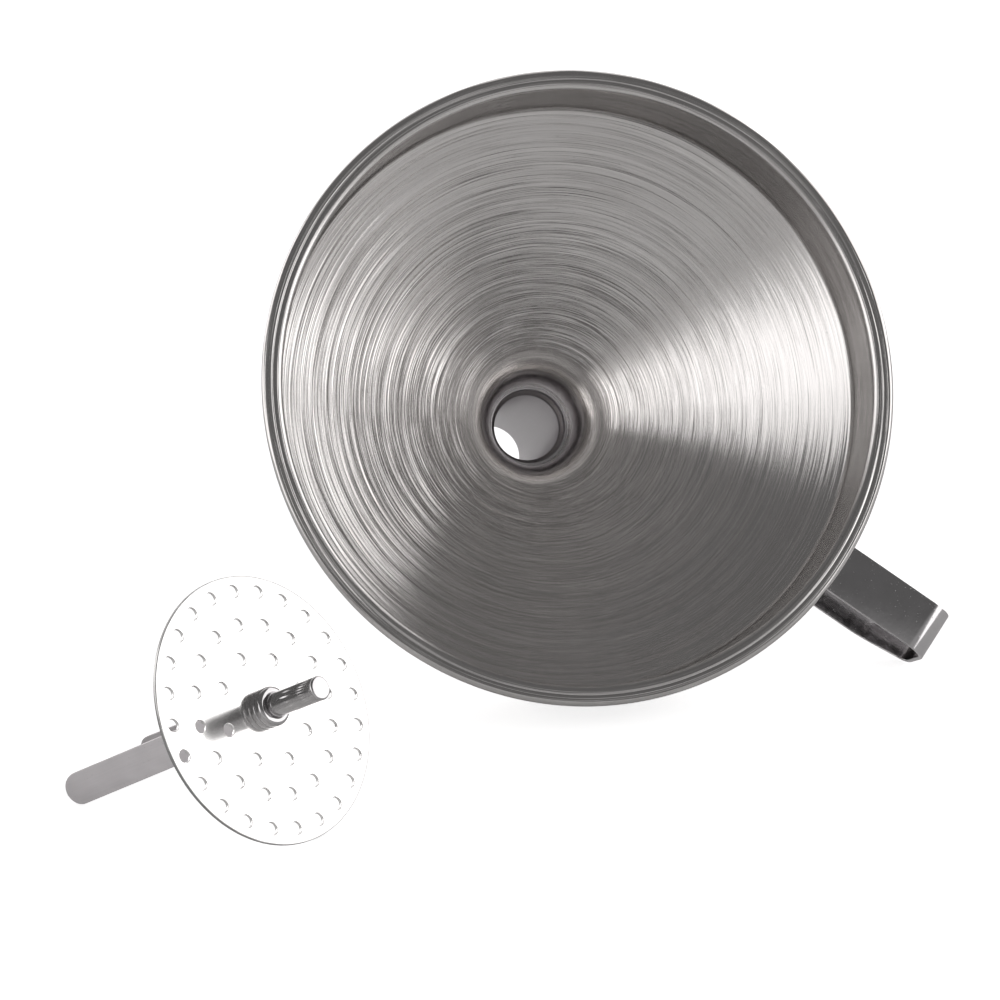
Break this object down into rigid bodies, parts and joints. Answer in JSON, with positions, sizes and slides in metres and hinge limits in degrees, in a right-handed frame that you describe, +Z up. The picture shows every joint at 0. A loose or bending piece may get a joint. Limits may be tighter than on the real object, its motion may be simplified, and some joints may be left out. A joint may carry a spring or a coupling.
{
  "type": "canning funnel",
  "caption": "Narrow-spout stainless kitchen funnel with a strap loop handle, lying on its side beside its lift-out perforated strainer with spring legs.",
  "frame": {"origin": "middle of the footprint of both pieces, on the surface they lie on", "axes": "+Z up, the mouth of the funnel faces -Y and up, the spout points to +Y"},
  "size_m": [0.1988, 0.1998, 0.1282],
  "materials": {
    "bowl_steel": "spun, fine rings",
    "spout_steel": "satin",
    "handle_steel": "polished",
    "disc_steel": "polished",
    "stem_steel": "polished",
    "leg_steel": "satin"
  },
  "bodies": {
    "funnel": {"bowl": "bowl_steel", "spout_tube": "spout_steel", "handle_strap": "handle_steel"},
    "strainer": {"strainer_disc": "disc_steel", "stem": "stem_steel", "stem_collar": "stem_steel", "leg_bridge": "leg_steel"},
    "front_leg": {"spring_leg_front": "leg_steel"},
    "back_leg": {"spring_leg_back": "leg_steel"}
  },
  "joints": [
    {"name": "strainer_lift", "type": "slide", "parent": "funnel", "child": "strainer", "axis": [0, 0, 1], "range_m": [0, 0.12]},
    {"name": "front_leg_flex", "type": "hinge", "parent": "strainer", "child": "front_leg", "pos_m": [-0.06625, -0.07972, 0.02257], "axis": [0.3416, -0.3861, -0.8569], "range_deg": [0, 18], "stiffness_Nm_per_rad": 0.3},
    {"name": "back_leg_flex", "type": "hinge", "parent": "strainer", "child": "back_leg", "pos_m": [-0.05697, -0.0715, 0.02257], "axis": [-0.3416, 0.3861, 0.8569], "range_deg": [-3, 3], "stiffness_Nm_per_rad": 0.3}
  ]
}
